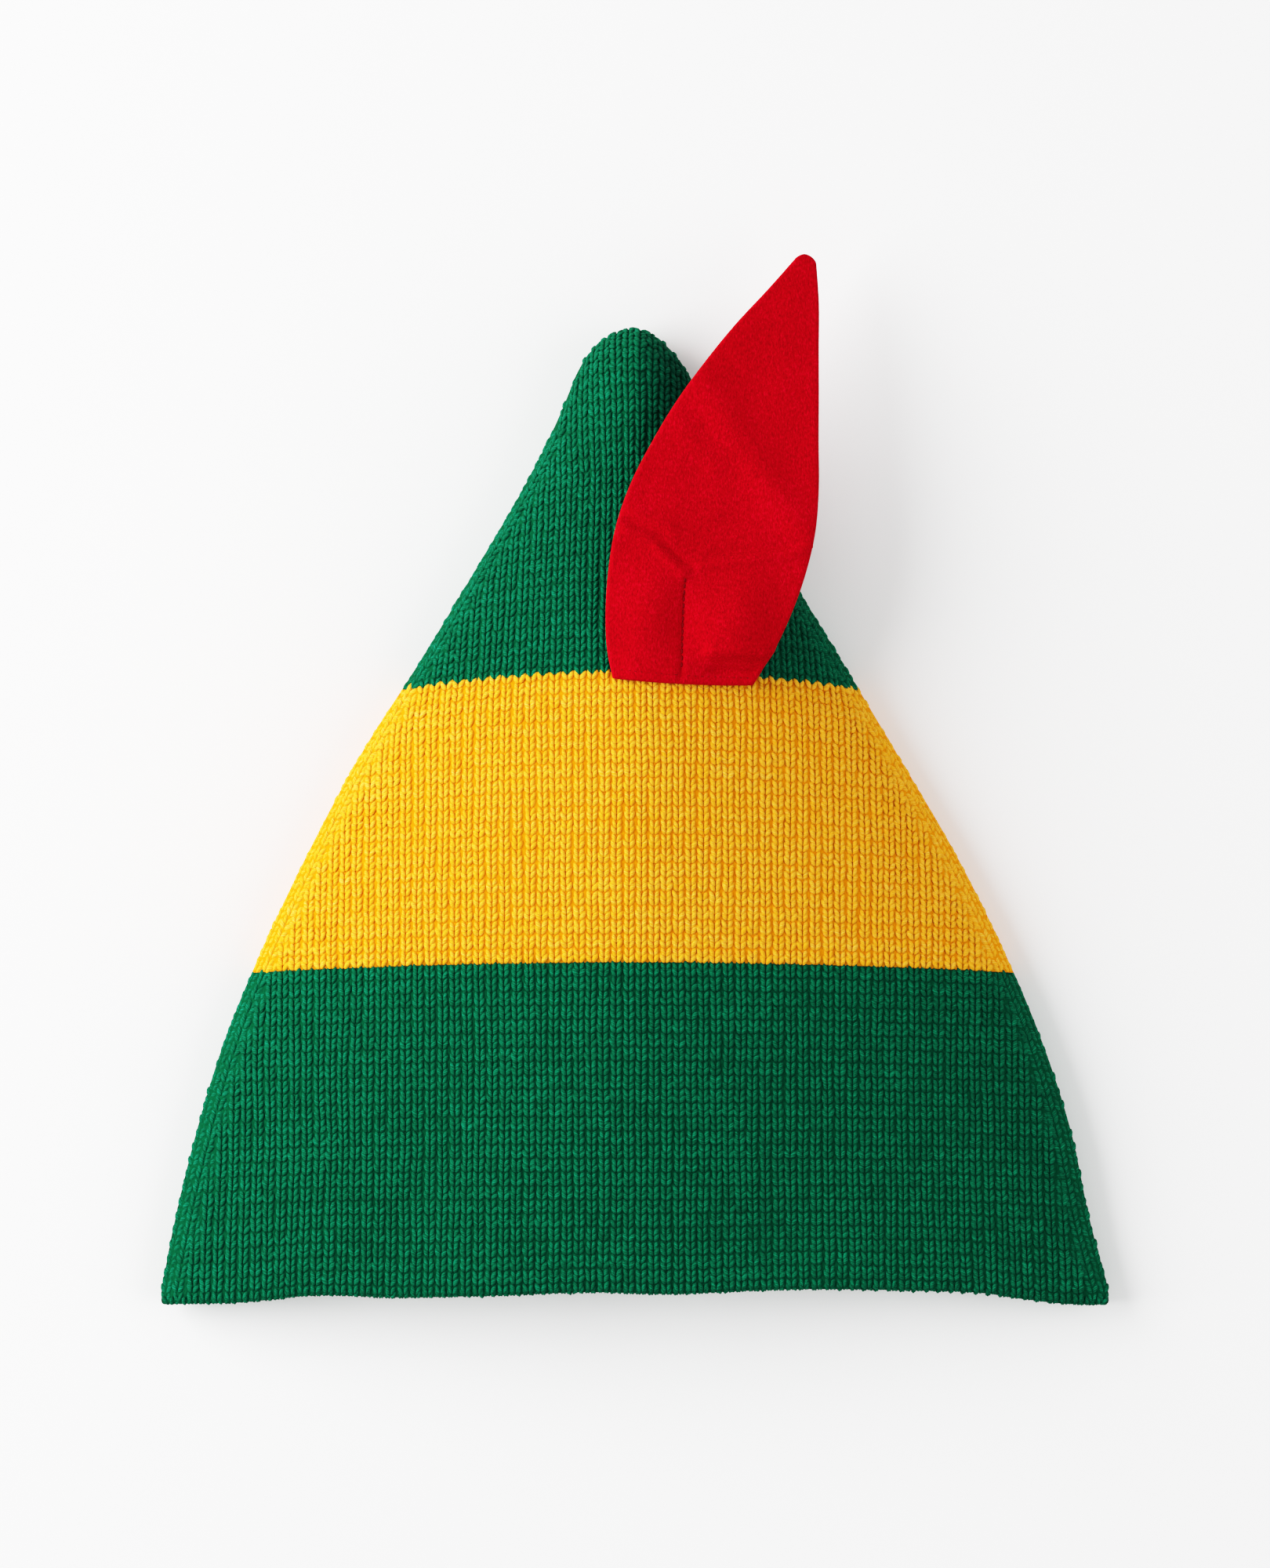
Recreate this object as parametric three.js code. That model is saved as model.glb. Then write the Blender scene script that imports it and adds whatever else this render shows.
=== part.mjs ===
// Elf hat: a knitted bag with a green band, a yellow stripe and a green crown, and a red felt feather.
// It lies on its back on a flat surface, softly filled out. X runs across the mouth, Y from the mouth to
// the tip, and Z up from the surface, which is z = 0.
import * as THREE from 'three';
import { mergeVertices } from 'three/addons/utils/BufferGeometryUtils.js';

// Driving sizes, in millimetres and degrees
const brimWidth = 250; // the mouth, measured flat from side to side
const lowerHeight = 87; // green knitting between the mouth and the stripe
const stripeHeight = 76; // the yellow stripe
const crownHeight = 91; // green knitting from the stripe to the tip
const puff = 46; // height of the lying hat where it is fullest
const knitWall = 2.6; // thickness of the knitting
const colourGap = 0.3; // between the solids of two colours of yarn
const featherLength = 116; // foot to tip, along the feather
const featherWidth = 51; // where the feather is widest
const feltThickness = 1.6;
const featherTilt = 16; // how far the feather leans to the right
const featherRight = 12.7; // the middle of its foot, to the right of the hat's middle
const featherOverlap = 2.5; // how far its foot reaches down over the stripe
const featherLoft = 4.5; // how far the darted foot stands up from the knitting
const featherGap = 0.3; // between the felt and the knitting it is sewn to

// How finely the curved faces are cut into flat ones
const facetsAround = 52;
const rowPitch = 11; // along the knitting
const tipRows = 5; // over the rounded tip
const rollSteps = 4; // round the turned edge of the mouth
const leafRows = 22;
const leafColumns = 12;
const nudge = 1e-3; // a small share, for measuring slopes

// Places worked out from them
const halfBrim = brimWidth / 2;
const bodyHeight = lowerHeight + stripeHeight + crownHeight;
const stripeFrom = lowerHeight / bodyHeight;
const crownFrom = (lowerHeight + stripeHeight) / bodyHeight;
const halfGap = colourGap / 2 / bodyHeight;
const mouthRoll = knitWall / 2;

// The body's sections. `along` is a share of the body's height, 0 at the mouth and 1 at the tip; `left` and
// `right` are shares of half the mouth's width; `top` and `side`, the heights of the dome and of its widest
// line, are shares of the puff; `rest` is the share of the width that lies on the surface. A row of stitches
// hangs lower at its ends than in its middle by `arch`, a share of the body's height, with the power `bend`.
const sections = [
  { along: 0.0, left: 1.0, right: 1.0, top: 0.65, side: 0.165, rest: 0.86, arch: 0.011, bend: 5 },
  { along: 0.071, left: 0.972, right: 0.961, top: 0.72, side: 0.18, rest: 0.86, arch: 0.011, bend: 4 },
  { along: 0.168, left: 0.924, right: 0.919, top: 0.84, side: 0.19, rest: 0.85, arch: 0.011, bend: 3 },
  { along: 0.266, left: 0.862, right: 0.854, top: 0.94, side: 0.2, rest: 0.84, arch: 0.011, bend: 2 },
  { along: 0.363, left: 0.78, right: 0.77, top: 0.99, side: 0.2, rest: 0.82, arch: 0.012, bend: 2 },
  { along: 0.46, left: 0.686, right: 0.671, top: 1.0, side: 0.2, rest: 0.8, arch: 0.013, bend: 2 },
  { along: 0.557, left: 0.581, right: 0.556, top: 0.97, side: 0.2, rest: 0.77, arch: 0.015, bend: 2 },
  { along: 0.654, left: 0.456, right: 0.439, top: 0.9, side: 0.21, rest: 0.73, arch: 0.017, bend: 2 },
  { along: 0.751, left: 0.337, right: 0.322, top: 0.79, side: 0.23, rest: 0.68, arch: 0.017, bend: 2 },
  { along: 0.849, left: 0.222, right: 0.224, top: 0.68, side: 0.24, rest: 0.62, arch: 0.014, bend: 2 },
  { along: 0.93, left: 0.145, right: 0.14, top: 0.6, side: 0.25, rest: 0.55, arch: 0.008, bend: 2 },
  { along: 1.0, left: 0.1, right: 0.075, top: 0.54, side: 0.25, rest: 0.5, arch: 0.0, bend: 2 },
];
const domePower = 1.6; // how flat the dome is on top, a power
const domeEdge = 0.72; // how steeply it ends at its widest line, a power: less is steeper
const tipShare = 0.93; // where the tip starts to round off, a share of the body's height
const tipPower = 3; // 2 is an ellipse, more is blunter

// The wavy edge of the mouth: how far it hangs below its smooth line, a share of the body's height
const mouthWaves = [
  { across: -1.0, drop: 0.0 },
  { across: -0.83, drop: 0.0035 },
  { across: -0.67, drop: -0.0016 },
  { across: -0.5, drop: 0.0008 },
  { across: -0.25, drop: -0.0016 },
  { across: -0.09, drop: -0.0043 },
  { across: 0.07, drop: -0.0024 },
  { across: 0.32, drop: -0.0075 },
  { across: 0.57, drop: -0.0059 },
  { across: 0.73, drop: -0.0043 },
  { across: 0.82, drop: 0.0004 },
  { across: 0.91, drop: 0.0031 },
  { across: 1.0, drop: 0.0 },
];
const waveReach = 0.07; // how far they fade up the knitting, a share of the body's height

// Soft dents of the upper face, and swells where `deep` is negative. `across` and `wide` are shares of the
// half width there, `along` and `tall` of the body's height, and `deep` of the puff.
const dents = [
  { across: -0.92, along: 0.108, wide: 0.08, tall: 0.045, deep: 0.04 },
  { across: -0.45, along: 0.144, wide: 0.1, tall: 0.1, deep: 0.03 },
  { across: 0.33, along: 0.05, wide: 0.15, tall: 0.05, deep: 0.045 },
  { across: -0.28, along: 0.0, wide: 0.1, tall: 0.05, deep: -0.03 },
  { across: -0.78, along: 0.03, wide: 0.12, tall: 0.06, deep: -0.025 },
  { across: 0.68, along: 0.02, wide: 0.12, tall: 0.06, deep: -0.02 },
];

// The feather's outline and lie. `up` is a share of its length from the foot, `left` and `right` are shares
// of its width, and `lift` is the height at which the free felt would hang, a share of the puff.
const leaf = [
  { up: 0.0, left: 0.352, right: 0.345, lift: 0.84 },
  { up: 0.05, left: 0.415, right: 0.375, lift: 0.85 },
  { up: 0.1, left: 0.46, right: 0.403, lift: 0.85 },
  { up: 0.2, left: 0.52, right: 0.435, lift: 0.84 },
  { up: 0.3, left: 0.55, right: 0.447, lift: 0.82 },
  { up: 0.4, left: 0.538, right: 0.435, lift: 0.79 },
  { up: 0.5, left: 0.492, right: 0.39, lift: 0.76 },
  { up: 0.6, left: 0.43, right: 0.325, lift: 0.72 },
  { up: 0.7, left: 0.348, right: 0.262, lift: 0.68 },
  { up: 0.8, left: 0.252, right: 0.197, lift: 0.64 },
  { up: 0.9, left: 0.138, right: 0.133, lift: 0.6 },
  { up: 1.0, left: 0.03, right: 0.052, lift: 0.56 },
];
const bankSlope = 0.12; // how steeply the felt falls to the right
const leafSoftness = 1.5; // how gently it bends where it leaves the knitting
const steepestRatio = 2; // the most that a slope of the knitting widens the gap under the felt, upwards
const footSlope = 0.236; // slope of the foot's edge across the feather
const footSlopePower = 4; // how fast that slope fades up the feather, a power
const leafTipShare = 0.985; // where its tip starts to round off

// The two puffs of felt beside the dart, and the dart itself, from its foot to its end.
const leafPuffs = [
  { up: 0.14, across: 0.17, tall: 0.11, wide: 0.2, rise: 1.0 },
  { up: 0.15, across: -0.27, tall: 0.12, wide: 0.18, rise: 0.6 },
];
const dart = { footUp: 0.017, footAcross: -0.024, endUp: 0.232, endAcross: -0.147, wide: 0.07 };
const sewnFlat = { from: 0.02, to: 0.12 }; // where the felt leaves the seam of its foot, shares of its length

// A smooth curve through one or more columns of a table, by its first column
function curveThrough(table) {
  const names = Object.keys(table[0]);
  const places = table.map((row) => row[names[0]]);
  const values = table.flatMap((row) => names.map((name) => row[name]));
  const spline = new THREE.CubicInterpolant(places, values, names.length);
  return (place) => {
    const found = spline.evaluate(place);
    return Object.fromEntries(names.map((name, i) => [name, found[i]]));
  };
}

const sectionAt = curveThrough(sections);
const leafAt = curveThrough(leaf);
const waveAt = curveThrough(mouthWaves);

// How much of its section is left at a share of the height: all of it, and none at the tip itself
function tipClosing(along) {
  const past = THREE.MathUtils.clamp((along - tipShare) / (1 - tipShare), 0, 1);
  return Math.sqrt(1 - past ** tipPower);
}

// The dent of the upper face at a place, in millimetres
function dentAt(across, along) {
  let depth = 0;
  for (const dent of dents) {
    const side = (across - dent.across) / dent.wide;
    const up = (along - dent.along) / dent.tall;
    depth += dent.deep * puff * Math.exp(-side * side - up * up);
  }
  return depth * Math.sqrt(1 - Math.min(1, across * across));
}

function topHeight(across, along) {
  const { top, side } = sectionAt(along);
  const dome = (1 - Math.min(1, Math.abs(across)) ** domePower) ** domeEdge;
  const closing = tipClosing(along);
  return puff * (side + (top - side) * dome * closing) - dentAt(across, along) * closing;
}

function underHeight(across, along) {
  const { side, rest } = sectionAt(along);
  const past = THREE.MathUtils.clamp((Math.abs(across) - rest) / (1 - rest), 0, 1);
  return puff * side * (1 - Math.sqrt(1 - past * past) * tipClosing(along));
}

function heightAlong(along) {
  return mouthRoll + along * (bodyHeight - mouthRoll);
}

// A point of the outer face. `turn` goes once round from the right side over the top, and `course` is the
// row of stitches, named by the share of the height where it crosses the middle.
function bodyPoint(turn, course) {
  const angle = 2 * Math.PI * turn;
  const across = Math.cos(angle);
  const row = sectionAt(course);
  const wave = waveAt(across).drop * Math.exp(-((course / waveReach) ** 2));
  const along = course - row.arch * Math.abs(across) ** row.bend - wave;
  const { left, right } = sectionAt(along);
  const reach = halfBrim * (across > 0 ? right : left) * tipClosing(along);
  const z = Math.sin(angle) >= 0 ? topHeight(across, along) : underHeight(across, along);
  return new THREE.Vector3(across * reach, heightAlong(along), z);
}

// The outward direction of the outer face, and the direction of its wales towards the tip
function bodyFrame(turn, course) {
  const below = Math.min(course, 1 - 2 * nudge);
  const wale = bodyPoint(turn, below + nudge).sub(bodyPoint(turn, below - nudge)).normalize();
  const round = bodyPoint(turn + nudge, below).sub(bodyPoint(turn - nudge, below));
  return { wale, out: wale.clone().cross(round).normalize() };
}

// One ring of points round the body, `depth` inside its outer face
function bodyRing(course, depth) {
  return Array.from({ length: facetsAround }, (_, i) => {
    const turn = i / facetsAround;
    return bodyPoint(turn, course).addScaledVector(bodyFrame(turn, course).out, -depth);
  });
}

// One ring of the turned edge, `share` of the way round it from the outer face to the inner one
function rollRing(course, share) {
  const angle = Math.PI * share;
  return Array.from({ length: facetsAround }, (_, i) => {
    const turn = i / facetsAround;
    const { wale, out } = bodyFrame(turn, course);
    return bodyPoint(turn, course)
      .addScaledVector(out, mouthRoll * (Math.cos(angle) - 1))
      .addScaledVector(wale, -mouthRoll * Math.sin(angle));
  });
}

// The two triangle fans or strips between two rings of points; a ring of one point is a pole
function bridge(corners, from, to) {
  const count = Math.max(from.length, to.length);
  for (let i = 0; i < count; i++) {
    const next = (i + 1) % count;
    if (to.length > 1) corners.push(from[from.length > 1 ? i : 0], to[i], to[next]);
    if (from.length > 1) corners.push(from[i], to[to.length > 1 ? next : 0], from[next]);
  }
}

function meshOf(corners, name, material) {
  const geometry = mergeVertices(new THREE.BufferGeometry().setFromPoints(corners), 1e-4);
  geometry.computeVertexNormals();
  const mesh = new THREE.Mesh(geometry, material);
  mesh.name = name;
  return mesh;
}

// Courses from one share of the height to another, evenly spaced
function coursesBetween(from, to) {
  const count = Math.max(2, Math.round(((to - from) * bodyHeight) / rowPitch));
  return Array.from({ length: count + 1 }, (_, i) => from + ((to - from) * i) / count);
}

// A ring of the knitting, open at both ends, with a turned edge where it is the mouth
function knitBand(name, from, to, turned, material) {
  const courses = coursesBetween(from, to);
  const rings = courses.map((course) => bodyRing(course, 0));
  rings.push(...courses.toReversed().map((course) => bodyRing(course, knitWall)));
  for (let step = rollSteps - 1; turned && step > 0; step--) {
    rings.push(rollRing(from, step / rollSteps));
  }
  const corners = [];
  rings.forEach((ring, i) => bridge(corners, ring, rings[(i + 1) % rings.length]));
  return meshOf(corners, name, material);
}

// The crown, closed by its rounded tip
function knitCrown(name, from, material) {
  const courses = coursesBetween(from, tipShare);
  for (let step = 1; step < tipRows; step++) {
    courses.push(tipShare + (1 - tipShare) * Math.sin((Math.PI / 2) * (step / tipRows)));
  }
  const tip = new THREE.Vector3(0, bodyHeight, puff * sectionAt(1).side);
  const rings = courses.map((course) => bodyRing(course, 0));
  rings.push([tip]);
  const inner = courses.map((course) => bodyRing(course, knitWall));
  inner.push([tip.clone().setY(bodyHeight - knitWall)]);
  const corners = [];
  for (let i = 0; i + 1 < rings.length; i++) {
    bridge(corners, rings[i], rings[i + 1]);
    bridge(corners, inner[i + 1], inner[i]);
  }
  bridge(corners, inner[0], rings[0]);
  return meshOf(corners, name, material);
}

// The upper face of the knitting above a point of the plan, or none outside its outline, raised so that
// felt of half its thickness clears the knitting by the feather's gap
function knittingUnder(x, y) {
  const along = (y - mouthRoll) / (bodyHeight - mouthRoll);
  if (along >= 1) return 0;
  const { left, right } = sectionAt(along);
  const reach = halfBrim * (x > 0 ? right : left) * tipClosing(along);
  const across = x / reach;
  if (Math.abs(across) >= 1) return 0;
  const z = topHeight(across, along);
  const slopeX = (topHeight(across + nudge, along) - z) / (nudge * reach);
  const slopeY = (topHeight(across, along + nudge) - z) / (nudge * bodyHeight);
  const stretch = Math.min(steepestRatio, Math.hypot(1, slopeX, slopeY));
  return z + (featherGap + feltThickness / 2) * stretch;
}

// The rise of the felt beside its dart, in millimetres
function leafRise(up, across) {
  let rise = 0;
  for (const puffed of leafPuffs) {
    const side = (across - puffed.across) / puffed.wide;
    const high = (up - puffed.up) / puffed.tall;
    rise += puffed.rise * Math.exp(-side * side - high * high);
  }
  const share = THREE.MathUtils.clamp((up - dart.footUp) / (dart.endUp - dart.footUp), 0, 1);
  const offDart = (across - THREE.MathUtils.lerp(dart.footAcross, dart.endAcross, share)) / dart.wide;
  const pinch = 1 - (1 - share * share) * Math.exp(-offDart * offDart);
  const sewnDown = THREE.MathUtils.smoothstep(up, sewnFlat.from, sewnFlat.to);
  return featherLoft * rise * pinch * sewnDown;
}

const tilt = THREE.MathUtils.degToRad(featherTilt);
const footY = heightAlong(crownFrom) - featherOverlap;

// A point of the felt's middle surface: `up` a share of the length, `side` from -1 to 1 across the outline
function leafPoint(up, side) {
  const row = leafAt(up);
  const past = THREE.MathUtils.clamp((up - leafTipShare) / (1 - leafTipShare), 0, 1);
  const across = side * (side > 0 ? row.right : row.left) * Math.sqrt(1 - past * past);
  const right = across * featherWidth;
  const forward = up * featherLength + footSlope * right * (1 - up) ** footSlopePower;
  const x = featherRight + forward * Math.sin(tilt) + right * Math.cos(tilt);
  const y = footY + forward * Math.cos(tilt) - right * Math.sin(tilt);
  const free = row.lift * puff - bankSlope * right;
  const carried = knittingUnder(x, y);
  const lie = (free + carried + Math.hypot(free - carried, leafSoftness)) / 2;
  return new THREE.Vector3(x, y, lie + leafRise(up, across));
}

// One ring of points round the feather's cross-section: its upper face to the right, its lower face back
function leafRing(up) {
  const low = THREE.MathUtils.clamp(up - nudge, 0, leafTipShare - 2 * nudge);
  const upper = [];
  const lower = [];
  for (let i = 0; i <= leafColumns; i++) {
    const side = -1 + (2 * i) / leafColumns;
    const near = THREE.MathUtils.clamp(side - nudge, -1, 1 - 2 * nudge);
    const round = leafPoint(low, near + 2 * nudge).sub(leafPoint(low, near));
    const forward = leafPoint(low + 2 * nudge, near).sub(leafPoint(low, near));
    const out = round.cross(forward).normalize();
    upper.push(leafPoint(up, side).addScaledVector(out, feltThickness / 2));
    lower.push(leafPoint(up, side).addScaledVector(out, -feltThickness / 2));
  }
  return [...upper, ...lower.reverse()];
}

function feltFeather(name, material) {
  const rings = Array.from({ length: leafRows + 1 }, (_, i) => leafRing((leafTipShare * i) / leafRows));
  rings.push([leafPoint(1, 0)]);
  const corners = [];
  for (let i = 0; i + 1 < rings.length; i++) {
    bridge(corners, rings[i + 1], rings[i]);
  }
  const foot = rings[0];
  for (let i = 0; i < leafColumns; i++) {
    const under = foot.length - 1 - i;
    corners.push(foot[i + 1], foot[i], foot[under]);
    corners.push(foot[i + 1], foot[under], foot[under - 1]);
  }
  return meshOf(corners, name, material);
}

// The three materials, and the hat
const greenKnit = new THREE.MeshStandardMaterial({ color: '#085d3f', roughness: 0.95, metalness: 0 });
const yellowKnit = new THREE.MeshStandardMaterial({ color: '#eab121', roughness: 0.95, metalness: 0 });
const redFelt = new THREE.MeshStandardMaterial({ color: '#c20315', roughness: 0.9, metalness: 0 });

const hat = new THREE.Group();
hat.add(
  knitBand('lower_band', 0, stripeFrom - halfGap, true, greenKnit),
  knitBand('middle_band', stripeFrom + halfGap, crownFrom - halfGap, false, yellowKnit),
  knitCrown('crown', crownFrom + halfGap, greenKnit),
  feltFeather('feather', redFelt),
);

// The origin is under the middle of the whole hat, from its mouth's lower corners to the feather's tip
const lowest = heightAlong(-sections[0].arch) - mouthRoll;
const highest = footY + featherLength * Math.cos(tilt);
hat.position.y = -(lowest + highest) / 2;

export default hat;
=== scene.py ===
# %% [markdown]
# # A knitted elf hat with a felt feather
# The hat lies on its back on a pale table and is seen from straight above. Its knitting is made of real
# stitches: one small V of yarn is modelled, and Geometry Nodes put it on every place of a knitting chart
# that is wrapped round the body. Under the stitches lies a plain cloth that closes the gaps.

# %% Load the frame
import math
import bmesh
import bpy
import numpy as np
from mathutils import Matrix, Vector


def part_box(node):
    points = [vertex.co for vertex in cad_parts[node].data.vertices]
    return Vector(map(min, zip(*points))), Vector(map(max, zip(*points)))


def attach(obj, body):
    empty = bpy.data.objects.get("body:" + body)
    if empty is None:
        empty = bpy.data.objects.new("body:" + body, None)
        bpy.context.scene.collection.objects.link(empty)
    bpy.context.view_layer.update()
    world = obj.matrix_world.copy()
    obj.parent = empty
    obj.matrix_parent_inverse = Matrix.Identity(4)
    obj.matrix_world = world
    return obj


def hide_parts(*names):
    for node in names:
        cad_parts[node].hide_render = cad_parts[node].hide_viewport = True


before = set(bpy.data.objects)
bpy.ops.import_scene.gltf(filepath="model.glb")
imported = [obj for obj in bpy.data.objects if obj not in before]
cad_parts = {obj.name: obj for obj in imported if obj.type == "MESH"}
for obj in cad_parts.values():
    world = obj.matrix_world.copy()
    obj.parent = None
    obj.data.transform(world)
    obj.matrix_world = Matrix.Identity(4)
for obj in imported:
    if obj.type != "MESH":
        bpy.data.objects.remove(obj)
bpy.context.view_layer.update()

# %% [markdown]
# ## Camera
# The picture was taken from straight above, so the camera looks down from the middle of the frame. A long
# lens from three metres keeps the tall middle of the hat from looking larger than its edge. The frame is
# 1620 by 2000 points of the picture, and 1216 of them are the 250 mm of the mouth.

# %% Camera
millimetre = 0.001
picture_wide, picture_high = 1620, 2000
per_point = 250 * millimetre / 1216
camera_height = 3.0
camera_forward = -0.65 * millimetre
side_line_height = 0.012
camera_data = bpy.data.cameras.new("camera")
camera_data.sensor_width = 36
camera_distance = camera_height - side_line_height
camera_data.lens = camera_data.sensor_width * camera_distance / (picture_high * per_point)
camera_data.clip_start, camera_data.clip_end = 0.1, 20
camera = bpy.data.objects.new("camera", camera_data)
camera.location = (0, camera_forward, camera_height)
bpy.context.scene.collection.objects.link(camera)
bpy.context.scene.camera = camera
print("lens:", round(camera_data.lens, 1), "mm")

# %% [markdown]
# ## The hat's sizes
# They are the driving sizes of the CAD source, repeated here in metres, because this script reads only the
# frame. The sections say how wide and how high the softly filled body is from the mouth to the tip.

# %% Sizes
brim_width = 0.250
lower_height, stripe_height, crown_height = 0.087, 0.076, 0.091
body_height = lower_height + stripe_height + crown_height
puff = 0.046
knit_wall = 0.0026
mouth_roll = knit_wall / 2
stripe_from = lower_height / body_height
crown_from = (lower_height + stripe_height) / body_height
tip_share, tip_power, dome_power, dome_edge = 0.93, 3, 1.6, 0.72
colour_gap = 0.3 * millimetre

# along, left, right, top, side, rest, arch, bend
sections = np.array([
    (0.000, 1.000, 1.000, 0.65, 0.165, 0.86, 0.011, 5),
    (0.071, 0.972, 0.961, 0.72, 0.180, 0.86, 0.011, 4),
    (0.168, 0.924, 0.919, 0.84, 0.190, 0.85, 0.011, 3),
    (0.266, 0.862, 0.854, 0.94, 0.200, 0.84, 0.011, 2),
    (0.363, 0.780, 0.770, 0.99, 0.200, 0.82, 0.012, 2),
    (0.460, 0.686, 0.671, 1.00, 0.200, 0.80, 0.013, 2),
    (0.557, 0.581, 0.556, 0.97, 0.200, 0.77, 0.015, 2),
    (0.654, 0.456, 0.439, 0.90, 0.210, 0.73, 0.017, 2),
    (0.751, 0.337, 0.322, 0.79, 0.230, 0.68, 0.017, 2),
    (0.849, 0.222, 0.224, 0.68, 0.240, 0.62, 0.014, 2),
    (0.930, 0.145, 0.140, 0.60, 0.250, 0.55, 0.008, 2),
    (1.000, 0.100, 0.075, 0.54, 0.250, 0.50, 0.000, 2),
])
# across, along, wide, tall, deep
dents = np.array([
    (-0.92, 0.108, 0.08, 0.045, 0.040),
    (-0.45, 0.144, 0.10, 0.100, 0.030),
    (0.33, 0.050, 0.15, 0.050, 0.045),
    (-0.28, 0.000, 0.10, 0.050, -0.030),
    (-0.78, 0.030, 0.12, 0.060, -0.025),
    (0.68, 0.020, 0.12, 0.060, -0.020),
])
# across, drop
mouth_waves = np.array([
    (-1.0, 0), (-0.83, 0.0035), (-0.67, -0.0016), (-0.5, 0.0008), (-0.25, -0.0016), (-0.09, -0.0043),
    (0.07, -0.0024), (0.32, -0.0075), (0.57, -0.0059), (0.73, -0.0043), (0.82, 0.0004), (0.91, 0.0031),
    (1.0, 0),
])
wave_reach = 0.07


def curve_through(table):
    """A smooth curve through a table's columns, by its first one, drawn as the CAD source draws it."""
    places, values = table[:, 0], table[:, 1:]
    slopes = np.diff(values, axis=0) / np.diff(places)[:, None]
    tangents = np.vstack([slopes[:1], (slopes[:-1] + slopes[1:]) / 2, slopes[-1:]])

    def at(place):
        place = np.clip(place, places[0], places[-1])
        i = np.clip(np.searchsorted(places, place, side="right") - 1, 0, len(places) - 2)
        step = (places[i + 1] - places[i])[..., None]
        t = (place - places[i])[..., None] / step
        start = (1 + 2 * t) * (1 - t) ** 2 * values[i] + t * (1 - t) ** 2 * step * tangents[i]
        end = t * t * (3 - 2 * t) * values[i + 1] + t * t * (t - 1) * step * tangents[i + 1]
        return start + end

    return at


section_curve, wave_curve = curve_through(sections), curve_through(mouth_waves)


def section_at(along, *names):
    """Columns of the sections' table at a share of the height."""
    row = section_curve(np.asarray(along, float))
    order = ("left", "right", "top", "side", "rest", "arch", "bend")
    return [row[..., order.index(name)] for name in names]


def tip_closing(along):
    past = np.clip((along - tip_share) / (1 - tip_share), 0, 1)
    return np.sqrt(1 - past ** tip_power)


def dent_at(across, along):
    depth = 0
    for middle, height, wide, tall, deep in dents:
        off = ((across - middle) / wide) ** 2 + ((along - height) / tall) ** 2
        depth = depth + deep * puff * np.exp(-off)
    return depth * np.sqrt(1 - np.minimum(1, across ** 2))


def top_height(across, along):
    top, side = section_at(along, "top", "side")
    dome = (1 - np.minimum(1, np.abs(across)) ** dome_power) ** dome_edge
    closing = tip_closing(along)
    return puff * (side + (top - side) * dome * closing) - dent_at(across, along) * closing


def under_height(across, along):
    side, rest = section_at(along, "side", "rest")
    past = np.clip((np.abs(across) - rest) / (1 - rest), 0, 1)
    return puff * side * (1 - np.sqrt(1 - past ** 2) * tip_closing(along))


feather_length, feather_width, felt_thickness = 0.116, 0.051, 0.0016
feather_tilt = math.radians(16)
feather_right, feather_overlap = 0.0127, 0.0025


def height_along(along):
    return mouth_roll + along * (body_height - mouth_roll)


foot_y = height_along(crown_from) - feather_overlap
lowest = height_along(-sections[0, 6]) - mouth_roll
highest = foot_y + feather_length * math.cos(feather_tilt)
frame_shift = -(lowest + highest) / 2


def body_point(turn, course):
    """Points of the outer face: once round from the right side over the top, at a row of stitches."""
    angle = 2 * np.pi * turn
    across = np.cos(angle)
    arch, bend = section_at(course, "arch", "bend")
    wave = wave_curve(across)[..., 0] * np.exp(-(course / wave_reach) ** 2)
    along = course - arch * np.abs(across) ** bend - wave
    left, right = section_at(along, "left", "right")
    reach = brim_width / 2 * np.where(across > 0, right, left) * tip_closing(along)
    z = np.where(np.sin(angle) >= 0, top_height(across, along), under_height(across, along))
    return np.stack([across * reach, height_along(along) + frame_shift, z], axis=-1)


def smooth(t):
    return t * t * (3 - 2 * t)


def unit(vectors):
    return vectors / np.maximum(np.linalg.norm(vectors, axis=-1, keepdims=True), 1e-12)


def body_frame(turn, course, nudge=1e-3):
    """The direction along the knitting towards the tip, and the outward one."""
    course = np.minimum(course, 1 - 2 * nudge)
    along = unit(body_point(turn, course + nudge) - body_point(turn, course - nudge))
    around = body_point(turn + nudge, course) - body_point(turn - nudge, course)
    return along, unit(np.cross(along, around))


# %% Compare these formulas with the CAD nodes
facets_around = 52
for node, course in (("lower_band", 0.0), ("middle_band", stripe_from), ("crown", crown_from)):
    low, high = (np.array(corner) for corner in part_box(node))
    turns = np.linspace(0, 1, facets_around, endpoint=False)
    past_gap = colour_gap / 2 / body_height if course > 0 else 0
    ring = body_point(turns, np.full(facets_around, course + past_gap))
    corners = np.array([tuple(v.co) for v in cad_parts[node].data.vertices])
    gap = max(np.linalg.norm(corners - point, axis=1).min() for point in ring)
    print(node, "starts", round(gap / millimetre, 4), "mm at most from its formula; its box is",
          np.round(low, 4), np.round(high, 4))

# %% [markdown]
# ## Rows and wales
# A row of stitches runs round the hat, and a wale is a column of them. Rows are spaced evenly along the
# middle line, a whole number in each colour. Wales are counted from the middle and spaced evenly as seen from
# above, so they run straight up the hat and the slanting sides cut them off, as in the real one. A stitch on
# a steep side stretches by a quarter at most.

# %% Rows and wales
row_pitch = 1.87 * millimetre
# course, pitch in millimetres
wale_table = np.array([(0.0, 3.28), (0.15, 3.24), (0.6, 3.24), (0.85, 3.0), (1.0, 3.4)]) * (1, millimetre)
most_stretch = 1.25
line_steps = 300
bands = {"lower": (0.0, stripe_from), "middle": (stripe_from, crown_from), "crown": (crown_from, 1.0)}
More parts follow.
